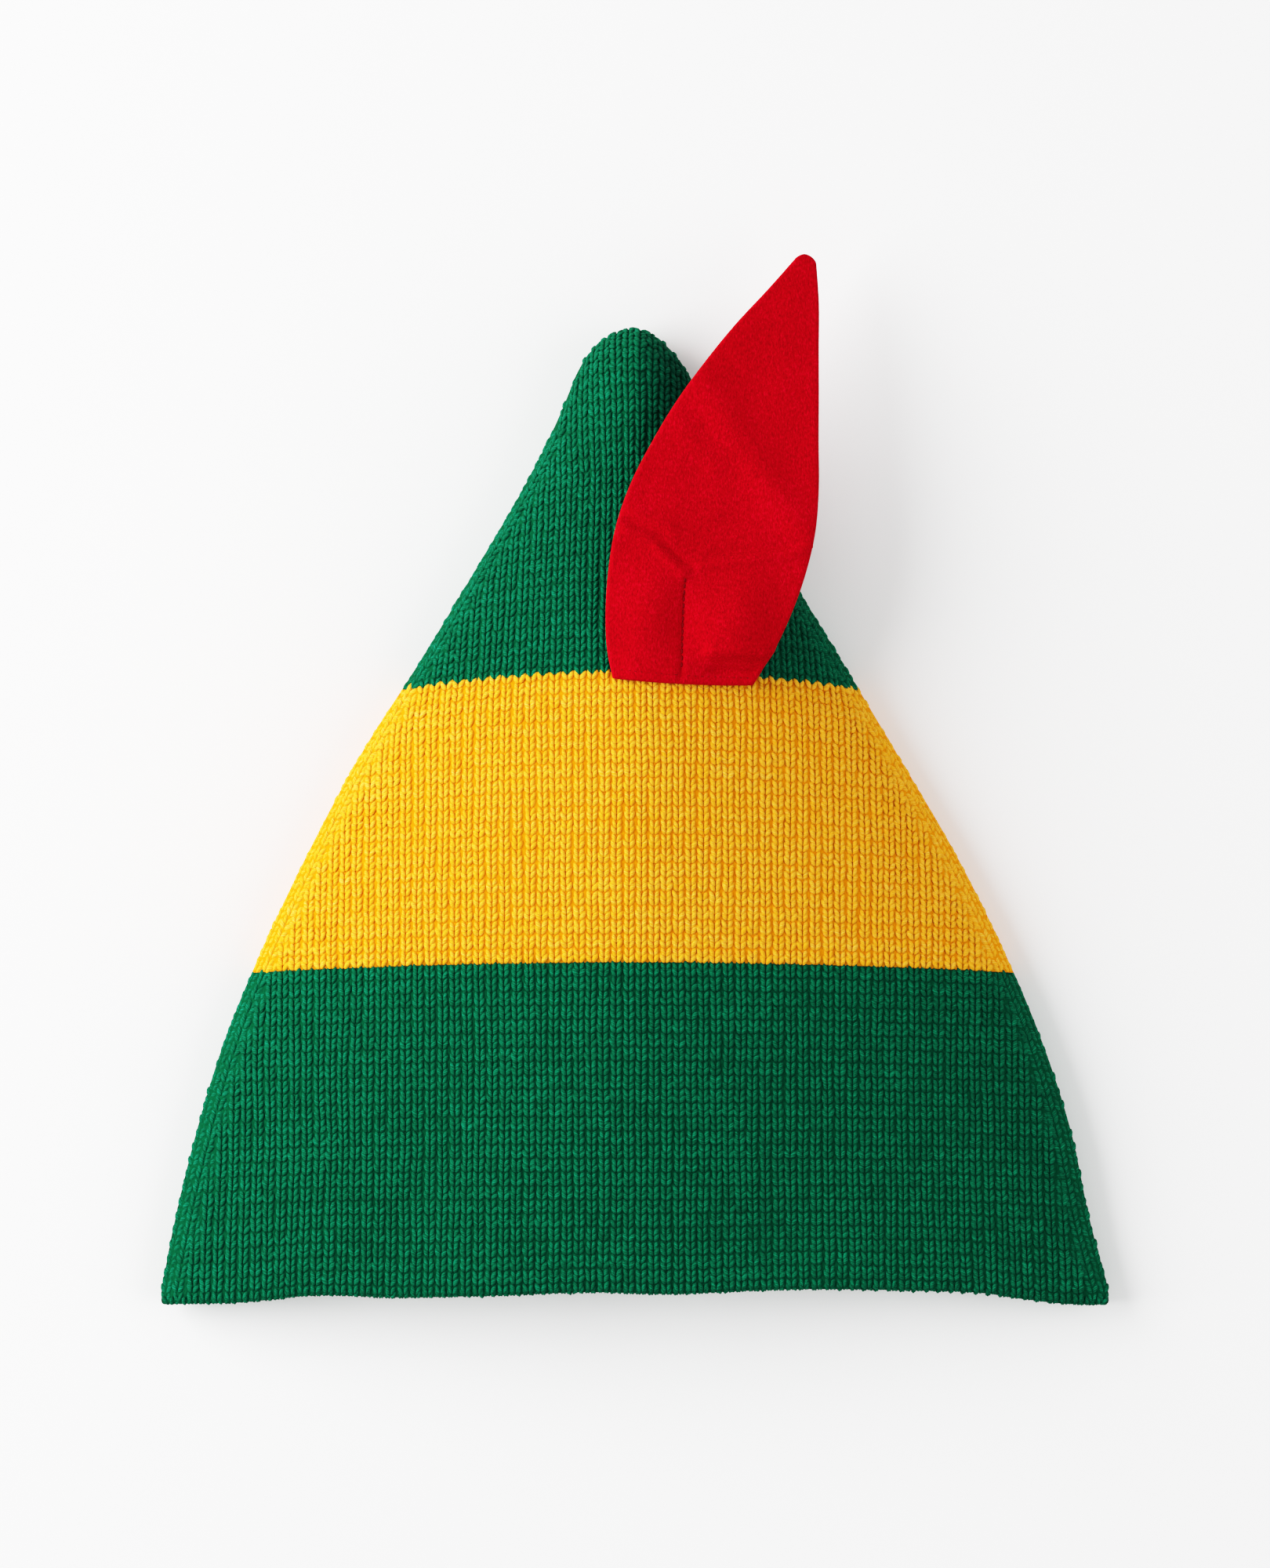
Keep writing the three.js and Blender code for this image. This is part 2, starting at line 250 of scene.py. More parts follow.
# The turns at which each quarter of a row starts and ends: on the middle line, and at the side
quarters = {
    "top_right": (0.25, 0.0), "top_left": (0.25, 0.5), "under_left": (0.75, 0.5), "under_right": (0.75, 1.0),
}


def wale_pitch(course):
    return np.interp(course, wale_table[:, 0], wale_table[:, 1])


def run_of(points, most=1.0):
    """Length of a line of points seen from above, or its true length over `most` where that is more."""
    steps = np.diff(points, axis=0)
    flat, true = np.linalg.norm(steps[:, :2], axis=1), np.linalg.norm(steps, axis=1)
    return np.concatenate([[0], np.cumsum(np.maximum(flat, true / most))])


spine_steps = 4000
spine_courses = 1 - np.linspace(1, 0, spine_steps) ** 2
spine_run = run_of(body_point(np.full(spine_steps, 0.25), spine_courses))


def row_courses(start, end):
    """The courses of the rows between two shares of the height."""
    first, last = np.interp([start, end], spine_courses, spine_run)
    count = round((last - first) / row_pitch)
    return np.interp(first + (last - first) * (np.arange(count) + 0.5) / count, spine_run, spine_courses)


rows = {name: row_courses(*ends) for name, ends in bands.items()}
print("rows in each colour:", {name: len(found) for name, found in rows.items()})

# %% [markdown]
# ## The knitting chart
# Every stitch needs a place, an outward direction, the direction of its wale and a size. They are worked out
# here once, as plain arrays, and kept on a mesh of loose points: the chart. Two wales at each side run along
# the slanting edge, as a shaped panel's selvedge does, and the others end under them. Rows are alternately
# a little wider and narrower, and wales drift slowly, because a machine's tension is never quite even.

# %% Places on a row
nominal_wale = 3.2 * millimetre
selvedge_wales, selvedge_rise = 2, 1.15
selvedge_ends = 0.9
room_at_edge, room_at_selvedge = 0.1, 0.7
ending_sunk, side_sunk, under_sunk = 0.6 * millimetre, 0.5 * millimetre, 0.25 * millimetre
side_begins = 0.93
shortest, tallest = 0.6, 1.5
row_shift, wide_row, narrow_row = 0.09, 1.08, 0.93
size_jitter, tone_jitter = 0.05, 0.4
tiny = 5e-4
chance = np.random.default_rng(12)
columns = ("place", "out", "along", "size", "tone")
row_count, wale_count = 160, 120
row_tone = chance.normal(0, 0.1, row_count)


def slow_noise(rows_long, wales_long):
    """A table of random numbers, by row and wale, that changes slowly along both."""
    table = chance.normal(size=(row_count, wale_count))
    for axis, length in ((0, rows_long), (1, wales_long)):
        window = np.hanning(length + 2)[1:-1]
        table = np.apply_along_axis(lambda line: np.convolve(line, window, mode="same"), axis, table)
    return table / table.std()


wale_drift = slow_noise(17, 3) * 0.035
wale_slack = slow_noise(9, 2) * 0.04


def wale_places(quarter, course, counts, from_edge, row=0):
    """Places on one quarter of a row: wales counted from the middle, or from the side line."""
    middle, side = quarters[quarter]
    turns = middle + (side - middle) * np.linspace(0, 1, line_steps)
    line = body_point(turns, np.full(line_steps, course))
    run, true_run = run_of(line, most_stretch), run_of(line)
    sign = 1 if quarter.endswith("right") else -1
    drift = wale_drift[row % row_count, wale_count // 2 + sign * np.asarray(counts, int)]
    distance = (counts + 0.5 + sign * drift) * wale_pitch(course)
    distance = np.where(from_edge, run[-1] - (counts + 0.5) * wale_pitch(course), distance)
    turn = np.interp(distance, run, turns)
    stretch = np.interp(distance, run, np.gradient(true_run, run))
    return turn, body_point(turn, np.full(len(turn), course)), run[-1], stretch


def selvedge_at(quarter, course):
    """How many wales run along the side line."""
    if course > selvedge_ends:
        return 0
    return selvedge_wales if quarter.startswith("top") else 1


def wales_on(quarter, course, run):
    """The wales that fit on a quarter of a row, and which of them belong to the selvedge."""
    edge = selvedge_at(quarter, course)
    room = run / wale_pitch(course) - edge + (room_at_selvedge if edge else room_at_edge)
    inner = np.arange(max(0, math.floor(room)))
    counts = np.concatenate([inner, np.arange(edge)])
    return counts, np.arange(len(counts)) >= len(inner)


def quarter_row(quarter, course, row):
    """The stitches of one quarter of a row, as columns of the chart."""
    run = wale_places(quarter, course, np.zeros(0), np.zeros(0, bool))[2]
    counts, from_edge = wales_on(quarter, course, run)
    if not len(counts):
        return None
    near = min(course, 1 - 2 * tiny)
    before = wale_places(quarter, near - tiny, counts, from_edge, row)[1]
    after = wale_places(quarter, near + tiny, counts, from_edge, row)[1]
    turn, place, _, stretch = wale_places(quarter, course, counts, from_edge, row)
    along = unit(after - before)
    per_run = np.gradient(spine_courses, spine_run)
    speed = np.linalg.norm(after - before, axis=1) / (2 * tiny) * np.interp(near, spine_courses, per_run)
    tall = np.clip(speed, shortest, tallest)
    out = body_frame(turn, np.full(len(turn), near))[1]
    out = unit(out - along * (out * along).sum(axis=1, keepdims=True))
    wide = stretch * wale_pitch(course) / nominal_wale
    size = np.stack([wide, tall, np.ones(len(turn))], axis=1)
    raised = from_edge & (counts == selvedge_wales - 1)
    size[raised, 2] = selvedge_rise
    overlap = np.clip(counts + 1 + selvedge_at(quarter, course) - run / wale_pitch(course), 0, 1)
    past_side = np.clip((np.abs(np.cos(2 * np.pi * turn)) - side_begins) / (1 - side_begins), 0, 1)
    below = under_sunk if quarter.startswith("under") else 0
    deeper = np.where(from_edge, 0, overlap) * ending_sunk + smooth(past_side) * side_sunk + below
    place = place - out * deeper[:, None]
    place = place + along * (row_shift if row % 2 else -row_shift) * row_pitch
    slack = wale_slack[row % row_count, wale_count // 2 + counts]
    size[:, 0] *= (wide_row if row % 2 else narrow_row) + slack
    size *= 1 + chance.normal(0, size_jitter, size.shape)
    tone = chance.normal(0, tone_jitter, len(turn)) + row_tone[row % row_count]
    return dict(zip(columns, (place, out, along, size, tone)))


def join_columns(parts):
    parts = [part for part in parts if part is not None]
    return {name: np.concatenate([part[name] for part in parts]) for name in columns}


def chart_of(band, quarter_names):
    first = {"lower": 0, "middle": len(rows["lower"]), "crown": len(rows["lower"]) + len(rows["middle"])}
    return join_columns([quarter_row(quarter, course, first[band] + number)
                         for number, course in enumerate(rows[band]) for quarter in quarter_names])


top_halves, under_halves = ("top_left", "top_right"), ("under_left", "under_right")
charts = {}
for band in ("lower", "middle"):
    charts[band + "_stitches_left"] = chart_of(band, top_halves[:1])
    charts[band + "_stitches_right"] = chart_of(band, top_halves[1:])
    charts[band + "_stitches_under"] = chart_of(band, under_halves)
charts["crown_stitches"] = chart_of("crown", top_halves)
charts["crown_stitches_under"] = chart_of("crown", under_halves)
print("stitches:", {name: len(chart["place"]) for name, chart in charts.items()})

# %% [markdown]
# ## The turned mouth
# The knitting turns in at the mouth. Its rows go on round the edge and a little way up the inside.

# %% Rows round the mouth and inside it
round_rows, inside_rows = 2, 5


def mouth_row(quarter, number):
    """A row past the first one: round the turned edge, then up the inside."""
    run = wale_places(quarter, 0.0, np.zeros(0), np.zeros(0, bool))[2]
    counts = np.arange(math.floor(run / wale_pitch(0.0) + room_at_edge))
    past = (number + 0.5) * row_pitch
    angle = min(math.pi, past / mouth_roll)
    course = max(0.0, past - math.pi * mouth_roll) / body_height
    turn, place, _, stretch = wale_places(quarter, course, counts, np.zeros(len(counts), bool), number)
    wale, out = body_frame(turn, np.full(len(turn), course))
    facing = math.cos(angle) * out - math.sin(angle) * wale
    along = math.sin(angle) * out + math.cos(angle) * wale
    place = place - mouth_roll * out + (mouth_roll - under_sunk) * facing
    wide = stretch * wale_pitch(0.0) / nominal_wale
    size = np.stack([wide, np.ones(len(turn)), np.ones(len(turn))], axis=1)
    tone = chance.normal(0, 0.5, len(turn))
    return dict(zip(columns, (place, facing, along, size, tone)))


mouth_rows = range(round_rows + inside_rows)
charts["mouth_stitches"] = join_columns([mouth_row(quarter, row) for row in mouth_rows for quarter in quarters])
print("stitches round the mouth:", len(charts["mouth_stitches"]["place"]))

# %% [markdown]
# ## One stitch
# A stitch shows as a V of two fat legs of yarn. Each leg starts near the middle of its wale, on top of the
# stitch below, leans outwards, and dives under the stitch above. It is a closed almond of few faces, because
# there are thousands of them. Its own UV map runs round and along the leg, for the twist of the yarn.

# %% The V of yarn
yarn_half_wide, yarn_half_thick = 0.63 * millimetre, 0.58 * millimetre


def add_leg(points, faces, uvs, side, around, ring_places):
    """One leg of the V, on the right for side = 1 and on the left for side = -1."""
    start = len(points)

    def axis(t):
        dive = 0.4 * max(0.0, (t - 0.5) / 0.5) ** 1.5
        return np.array([
            side * nominal_wale * (0.07 + 0.33 * t),
            row_pitch * (-0.66 + 1.52 * t),
            millimetre * (-0.56 + 0.12 * math.sin(math.pi * min(1, 1.4 * t)) - dive),
        ])

    for t in ring_places:
        ahead = unit(axis(t + 0.02) - axis(t - 0.02))
        across = unit(np.cross(ahead, (0, 0, 1)))
        upward = np.cross(across, ahead)
        full = (1 - abs(2 * t - 1) ** 2.6) ** 0.65
        for angle in np.radians(around):
            sideways = yarn_half_wide * math.cos(angle) * across
            points.append(axis(t) + full * (sideways + yarn_half_thick * math.sin(angle) * upward))
    points.extend([axis(0.0), axis(1.0)])
    low_end, high_end = len(points) - 2, len(points) - 1
    shares = [angle / 360 for angle in around] + [1.0]
    if side < 0:
        shares = [0.5 - share for share in shares]
    count = len(around)
    for i in range(count):
        j = (i + 1) % count
        u0, u1 = shares[i], shares[i + 1]
        faces.append((low_end, start + i, start + j))
        uvs.append([((u0 + u1) / 2, 0), (u0, ring_places[0]), (u1, ring_places[0])])
        for k in range(len(ring_places) - 1):
            a, b = start + k * count, start + (k + 1) * count
            faces.append((a + i, b + i, b + j, a + j))
            v0, v1 = ring_places[k], ring_places[k + 1]
            uvs.append([(u0, v0), (u0, v1), (u1, v1), (u1, v0)])
        top = start + (len(ring_places) - 1) * count
        faces.append((top + i, high_end, top + j))
        uvs.append([(u0, ring_places[-1]), ((u0 + u1) / 2, 1), (u1, ring_places[-1])])


def mesh_object(name, points, faces, uvs=None):
    """A mesh object from plain arrays, linked to the scene at the origin."""
    mesh = bpy.data.meshes.new(name)
    mesh.from_pydata([tuple(p) for p in points], [], [tuple(f) for f in faces])
    if uvs is not None:
        layer = mesh.uv_layers.new(name="yarn")
        layer.data.foreach_set("uv", [value for face in uvs for uv in face for value in uv])
    mesh.shade_smooth()
    made = bpy.data.objects.new(name, mesh)
    bpy.context.scene.collection.objects.link(made)
    return made


def tell(name, points, faces):
    volume = sum(np.dot(points[f[0]], np.cross(points[f[i]], points[f[i + 1]])) / 6
                 for f in faces for i in range(1, len(f) - 1))
    print(name, "has", sum(len(f) - 2 for f in faces), "triangles and a volume of",
          round(volume / millimetre ** 3, 1), "cubic mm")


def stitch_object(name, around, ring_places):
    points, faces, uvs = [], [], []
    for side in (-1, 1):
        add_leg(points, faces, uvs, side, around, ring_places)
    tell(name, points, faces)
    return mesh_object(name, points, faces, uvs)


front_stitch = stitch_object("front_stitch", (0, 60, 120, 180, 270), (0.12, 0.38, 0.64, 0.88))
under_stitch = stitch_object("under_stitch", (0, 90, 180, 270), (0.25, 0.72))

# %% [markdown]
# ## Materials
# Both colours of yarn are one recipe with other colours. The shader groups put out masks: the twist of the
# plies from the yarn's own UV map, the fine fibres from noise, and a painted shade towards the ends of each
# leg.
# The colour is partly the yarn's uneven tone and partly painted light: a brighter colour on the ridges of the
# plies and on fibre streaks is painted highlight, and a darker one in the grooves between them is painted
# shade. Sheen on the shader stands for the fuzz that catches light.

# %% Helpers for node trees


def joined(tree, made, **inputs):
    """Gives a new node its inputs, each a value or another node's output."""
    for name, value in inputs.items():
        socket = made.inputs[int(name[1:])] if name[0] == "i" and name[1:].isdigit() else made.inputs[name]
        if isinstance(value, bpy.types.NodeSocket):
            tree.links.new(value, socket)
        else:
            socket.default_value = value
    return made


def math_node(tree, operation, *values):
    made = tree.nodes.new("ShaderNodeMath")
    made.operation = operation
    return joined(tree, made, **{f"i{i}": value for i, value in enumerate(values)}).outputs[0]


def plus(tree, first, second):
    return math_node(tree, "ADD", first, second)


def times(tree, first, second):
    return math_node(tree, "MULTIPLY", first, second)


def noise_node(tree, vector, scale, detail=2.0, roughness=0.5):
    made = tree.nodes.new("ShaderNodeTexNoise")
    joined(tree, made, Vector=vector, Scale=scale, Detail=detail, Roughness=roughness)
    return made.outputs["Fac"]


def spread(tree, value, low, high):
    """Maps the range from low to high onto 0 to 1, and holds the value there."""
    made = tree.nodes.new("ShaderNodeMapRange")
    return joined(tree, made, **{"Value": value, "From Min": low, "From Max": high}).outputs[0]


def mixed(tree, share, first, second):
    made = tree.nodes.new("ShaderNodeMix")
    made.data_type = "RGBA"
    tree.links.new(share, made.inputs["Factor"])
    for socket, colour in ((made.inputs[6], first), (made.inputs[7], second)):
        if isinstance(colour, bpy.types.NodeSocket):
            tree.links.new(colour, socket)
        else:
            socket.default_value = (*colour, 1)
    return made.outputs[2]


def linear(red, green, blue):
    """A colour from the 0 to 255 numbers that a paint program shows."""
    return tuple((c / 12.92 if c <= 0.04045 else ((c + 0.055) / 1.055) ** 2.4)
                 for c in (red / 255, green / 255, blue / 255))


def shader_group(name, inputs, outputs):
    """A new group with named number inputs and their usual values, and named outputs."""
    group = bpy.data.node_groups.new(name, "ShaderNodeTree")
    for socket, value in inputs.items():
        made = group.interface.new_socket(socket, in_out="INPUT", socket_type="NodeSocketFloat")
        made.default_value = value
    for socket in outputs:
        group.interface.new_socket(socket, in_out="OUTPUT", socket_type="NodeSocketFloat")
    return group, group.nodes.new("NodeGroupInput"), group.nodes.new("NodeGroupOutput")


def placed(material, group, **inputs):
    made = material.node_tree.nodes.new("ShaderNodeGroup")
    made.node_tree = group
    return joined(material.node_tree, made, **inputs)


def new_material(name, roughness, specular, **settings):
    """A material whose shader has these numbers and colours on its own sockets."""
    material = bpy.data.materials.new(name)
    material.use_nodes = True
    settings = {"Roughness": roughness, "Specular IOR Level": specular, **settings}
    for socket, value in settings.items():
        material.node_tree.nodes["Principled BSDF"].inputs[socket].default_value = value
    return material


def soft_sheen(weight, colour):
    return {"Sheen Weight": weight, "Sheen Roughness": 0.5, "Sheen Tint": (*colour, 1)}


def coloured(material, colour, height, strength, distance):
    """Links a colour, and a bump of a height in metres, to the material's shader."""
    tree = material.node_tree
    shader, bump = tree.nodes["Principled BSDF"], tree.nodes.new("ShaderNodeBump")
    joined(tree, bump, Height=height, Strength=strength, Distance=distance)
    tree.links.new(colour, shader.inputs["Base Color"])
    tree.links.new(bump.outputs[0], shader.inputs["Normal"])
    return material


# %% The yarn's twist and its fibres


def build_twist():
    group, inside, outside = shader_group("ply twist", {"Plies": 4.0, "Turns": 4.5, "Own": 0.0},
                                          ("Ridge", "Streaks", "Lit"))
    nodes, links = group.nodes, group.links
    uv = nodes.new("ShaderNodeUVMap")
    uv.uv_map = "yarn"
    split = nodes.new("ShaderNodeSeparateXYZ")
    links.new(uv.outputs[0], split.inputs[0])
    round_it = times(group, split.outputs[0], inside.outputs["Plies"])
    forward = times(group, split.outputs[1], inside.outputs["Turns"])
    phase = plus(group, plus(group, round_it, forward), inside.outputs["Own"])
    wave = math_node(group, "SINE", times(group, phase, math.tau))
    fibre_place = nodes.new("ShaderNodeCombineXYZ")
    joined(group, fibre_place, X=times(group, phase, 3.2), Y=split.outputs[1], Z=inside.outputs["Own"])
    streaks = noise_node(group, fibre_place.outputs[0], 1.6, 3.0, 0.6)
    links.new(spread(group, streaks, 0.32, 0.68), outside.inputs["Streaks"])
    links.new(spread(group, wave, -1.0, 1.0), outside.inputs["Ridge"])
    # Painted shade mask: lower towards the leg's ends, where it meets and goes under other yarn.
    ends = math_node(group, "ABSOLUTE", math_node(group, "SUBTRACT", split.outputs[1], 0.45))
    links.new(spread(group, ends, 0.5, 0.2), outside.inputs["Lit"])
    return group


fibre_stretch = (1.0, 0.45, 1.0)


def build_fibres():
    group, inside, outside = shader_group("fine fibres", {"Size": 0.25}, ("Fibres", "Patches"))
    nodes = group.nodes
    place = nodes.new("ShaderNodeTexCoord").outputs["Object"]
    scale = math_node(group, "DIVIDE", 1000.0, inside.outputs["Size"])
    stretched = nodes.new("ShaderNodeVectorMath")
    stretched.operation = "MULTIPLY"
    joined(group, stretched, i0=place, i1=fibre_stretch)
    group.links.new(noise_node(group, stretched.outputs[0], scale, 3.0, 0.6), outside.inputs["Fibres"])
    group.links.new(noise_node(group, place, 45.0, 2.0), outside.inputs["Patches"])
    return group


ply_twist, fine_fibres = build_twist(), build_fibres()


def yarn_material(name, deep, usual, bright):
    """Yarn from three colours: a darker one in the grooves, as painted shade; the usual one; and a brighter one
    on the ridges and fibre streaks, as painted highlight.
    """
    material = new_material(name, 0.85, 0.08, **soft_sheen(0.1, bright))
    tree = material.node_tree
    own = tree.nodes.new("ShaderNodeAttribute")
    own.attribute_name = "tone"
    twist = placed(material, ply_twist, Own=times(tree, own.outputs["Fac"], 7.3))
    fibres = placed(material, fine_fibres)
    grain = spread(tree, fibres.outputs["Fibres"], 0.3, 0.7)
    # Painted light in the colour: Ridge makes the grooves between plies darker and their ridges brighter;
    # streaks and fibres add uneven tone and painted highlight.
    level = plus(tree, times(tree, twist.outputs["Ridge"], 0.2), times(tree, grain, 0.15))
    level = plus(tree, level, times(tree, twist.outputs["Streaks"], 0.6))
    level = plus(tree, level, times(tree, own.outputs["Fac"], 0.09))
    # Painted shade: the colour darkens towards both ends of each leg, where it dives under other yarn.
    painted_end_shade = plus(tree, times(tree, twist.outputs["Lit"], 0.5), 0.5)
    level = times(tree, plus(tree, level, 0.05), painted_end_shade)
    # deep is the painted groove shade, bright the painted highlight.
    lower = mixed(tree, spread(tree, level, 0.0, 0.45), deep, usual)
    colour = mixed(tree, spread(tree, level, 0.5, 1.0), lower, bright)
    height = plus(tree, times(tree, twist.outputs["Ridge"], 0.5), plus(tree, grain, twist.outputs["Streaks"]))
    return coloured(material, colour, height, 0.6, 0.21 * millimetre)


green_yarn = yarn_material("green yarn", linear(2, 66, 44), linear(4, 97, 70), linear(18, 150, 115))
yellow_yarn = yarn_material("yellow yarn", linear(230, 138, 8), linear(250, 177, 33), linear(253, 210, 108))

# %% [markdown]
# ## Knit the stitches onto the chart
# The tree puts the V of yarn on every point of a chart, turned by the point's outward direction and by the
# direction of its wale, and a little at random, because no two stitches lie quite alike.

# %% The tree of stitches


def group_input(tree, name, kind, value=None):
    made = tree.interface.new_socket(name, in_out="INPUT", socket_type=kind)
    if value is not None:
        made.default_value = value
    return made.identifier


def kept_vector(tree, name):
    """A vector that every point of the chart keeps."""
    made = tree.nodes.new("GeometryNodeInputNamedAttribute")
    made.data_type = "FLOAT_VECTOR"
    return joined(tree, made, Name=name).outputs["Attribute"]


def build_knitting():
    tree = bpy.data.node_groups.new("stitches on a chart", "GeometryNodeTree")
    names = {
        "chart": group_input(tree, "Chart", "NodeSocketGeometry"),
        "stitch": group_input(tree, "Stitch", "NodeSocketObject"),
        "yarn": group_input(tree, "Yarn", "NodeSocketMaterial"),
        "lean": group_input(tree, "Lean", "NodeSocketFloat", 0.06),
        "seed": group_input(tree, "Seed", "NodeSocketInt", 1),
    }
    tree.interface.new_socket("Knitting", in_out="OUTPUT", socket_type="NodeSocketGeometry")
    nodes, links = tree.nodes, tree.links
    inside, outside = nodes.new("NodeGroupInput"), nodes.new("NodeGroupOutput")
    turn = nodes.new("FunctionNodeAxesToRotation")
    turn.primary_axis, turn.secondary_axis = "Z", "Y"
    joined(tree, turn, i0=kept_vector(tree, "out"), i1=kept_vector(tree, "along"))
    less = times(tree, inside.outputs["Lean"], -1.0)
    by_axis = nodes.new("ShaderNodeCombineXYZ")
    for axis in range(3):
        leaning = nodes.new("FunctionNodeRandomValue")
        leaning.data_type = "FLOAT"
        joined(tree, leaning, Seed=plus(tree, inside.outputs["Seed"], axis))
        low, high = (socket for socket in leaning.inputs if socket.name in ("Min", "Max") and socket.enabled)
        links.new(less, low)
        links.new(inside.outputs["Lean"], high)
        links.new([socket for socket in leaning.outputs if socket.enabled][0], by_axis.inputs[axis])
    small = joined(tree, nodes.new("FunctionNodeEulerToRotation"), i0=by_axis.outputs[0])
    both = nodes.new("FunctionNodeRotateRotation")
    both.rotation_space = "LOCAL"
    joined(tree, both, i0=turn.outputs[0], i1=small.outputs[0])
    yarn_piece = joined(tree, nodes.new("GeometryNodeObjectInfo"), Object=inside.outputs["Stitch"])
    on_chart = joined(tree, nodes.new("GeometryNodeInstanceOnPoints"), Points=inside.outputs["Chart"],
                      Instance=yarn_piece.outputs["Geometry"], Rotation=both.outputs[0],
                      Scale=kept_vector(tree, "size"))
    real = joined(tree, nodes.new("GeometryNodeRealizeInstances"), i0=on_chart.outputs[0])
    dyed = joined(tree, nodes.new("GeometryNodeSetMaterial"), Geometry=real.outputs[0],
                  Material=inside.outputs["Yarn"])
    links.new(dyed.outputs[0], outside.inputs[0])
    return tree, names


knitting_tree, knitting_inputs = build_knitting()


def chart_object(name, chart):
    """Loose points with the chart's columns as attributes."""
    made = mesh_object(name, chart["place"], [])
    for column in ("out", "along", "size"):
        layer = made.data.attributes.new(column, "FLOAT_VECTOR", "POINT")
        layer.data.foreach_set("vector", chart[column].ravel())
    layer = made.data.attributes.new("tone", "FLOAT", "POINT")
    layer.data.foreach_set("value", chart["tone"])
    return made


def made_plain(made, tree, values):
    """Adds a tree with its inputs set, and leaves the plain mesh that it makes."""
    modifier = made.modifiers.new("tree", "NODES")
    modifier.node_group = tree
    for identifier, value in values.items():
        modifier[identifier] = value
    evaluated = made.evaluated_get(bpy.context.evaluated_depsgraph_get())
    mesh = bpy.data.meshes.new_from_object(evaluated)
    made.modifiers.clear()
    made.data = mesh
    mesh.name = made.name
    return made


def knitted(name, chart, stitch, yarn, seed):
    values = {"stitch": stitch, "yarn": yarn, "lean": 0.11, "seed": seed}
    made = made_plain(chart_object(name, chart), knitting_tree,
                      {knitting_inputs[key]: value for key, value in values.items()})
    print(name, "has", sum(len(p.vertices) - 2 for p in made.data.polygons), "triangles")
    return made


# %% Knit every chart
band_of = {"lower": "lower_band", "middle": "middle_band", "crown": "crown", "mouth": "lower_band"}
knitting = {}
for number, (name, chart) in enumerate(charts.items()):
    coarse = name.endswith("under") or name.startswith("mouth")
    yarn = yellow_yarn if name.startswith("middle") else green_yarn
    knitting[name] = knitted(name, chart, under_stitch if coarse else front_stitch, yarn, 10 * number)
for helper in (front_stitch, under_stitch):
    bpy.data.objects.remove(helper)

# %% [markdown]
# ## The cloth under the stitches
# Between the stitches the eye meets the backs of other loops. A plain closed shell stands for them: its outer
# face lies in the shade under the yarn, and its inner face is the inside of the hat. One shell serves each
# colour, so the colour below always belongs to the stitches above, made darker as painted shade, on both faces.

# %% Cloth shells
ground_depth = 0.6 * millimetre
cloth_around = 120
turns_around = np.arange(cloth_around) / cloth_around
roll_steps = 5


def cloth_ring(course, depth):
    courses = np.full(cloth_around, course)
    return body_point(turns_around, courses) - depth * body_frame(turns_around, courses)[1]


def roll_ring(angle):
    """A ring of the mouth's turned edge, between the two faces of the shell."""
    wale, out = body_frame(turns_around, np.zeros(cloth_around))
    middle, radius = (ground_depth + knit_wall) / 2, (knit_wall - ground_depth) / 2
    facing = math.cos(angle) * out - math.sin(angle) * wale
    return body_point(turns_around, np.zeros(cloth_around)) - middle * out + radius * facing


def bridged(rings, loop):
    """Faces between rings of points, whose ends are joined for a loop, or are poles of one point."""
    starts = np.concatenate([[0], np.cumsum([len(ring) for ring in rings])])
    faces = []
    for k in range(len(rings) if loop else len(rings) - 1):
        a, b = k, (k + 1) % len(rings)
        count = max(len(rings[a]), len(rings[b]))
        for i in range(count):
            j = (i + 1) % count
            corners = [(a, j), (a, i), (b, i), (b, j)]
            found = (int(starts[ring]) + place % len(rings[ring]) for ring, place in corners)
            faces.append(list(dict.fromkeys(found)))
    return np.concatenate(rings), faces


def cloth_object(name, rings, loop, material):
    points, faces = bridged(rings, loop)
    made = mesh_object(name, points, faces)
    made.data.materials.append(material)
    tell(name, points, faces)
    return made


def loops_with_painted_shade(name, deep, usual):
    """The backs of the loops, coloured darker than their yarn: painted shade."""
    material = new_material(name, 0.95, 0.05)
    tree = material.node_tree
    fibres = placed(material, fine_fibres, Size=0.35).outputs["Fibres"]
    colour = mixed(tree, spread(tree, fibres, 0.3, 0.7), deep, usual)
    return coloured(material, colour, fibres, 0.6, 0.3 * millimetre)


# Painted shade: the loops below are coloured darker than the yarn above them.
green_loops_painted_shade = loops_with_painted_shade("green loops below", linear(2, 66, 44), linear(4, 90, 61))
yellow_loops_painted_shade = loops_with_painted_shade("yellow loops below", linear(214, 124, 4), linear(234, 148, 10))

half_gap = 0.02 * millimetre / body_height
shells = {}
for name, start, end in (("lower_cloth", 0.0, stripe_from - half_gap),
                         ("middle_cloth", stripe_from + half_gap, crown_from - half_gap)):
    courses = np.linspace(start, end, 24)
    rings = [cloth_ring(c, ground_depth) for c in courses]
    rings += [cloth_ring(c, knit_wall) for c in courses[::-1]]
    if start == 0:
        rings += [roll_ring(math.pi * (1 - step / roll_steps)) for step in range(1, roll_steps)]
    shells[name] = cloth_object(name, rings, True, green_loops_painted_shade if start == 0 else yellow_loops_painted_shade)
tip_rings = 8
courses = np.concatenate([
    np.linspace(crown_from + half_gap, tip_share, 26),
    tip_share + (1 - tip_share) * np.sin(math.pi / 2 * np.arange(1, tip_rings) / tip_rings),
])
tip = np.array([[0.0, body_height + frame_shift, puff * float(section_at(1.0, "side")[0])]])
rings = [tip - [[0, knit_wall, 0]]] + [cloth_ring(c, knit_wall) for c in courses[::-1]]
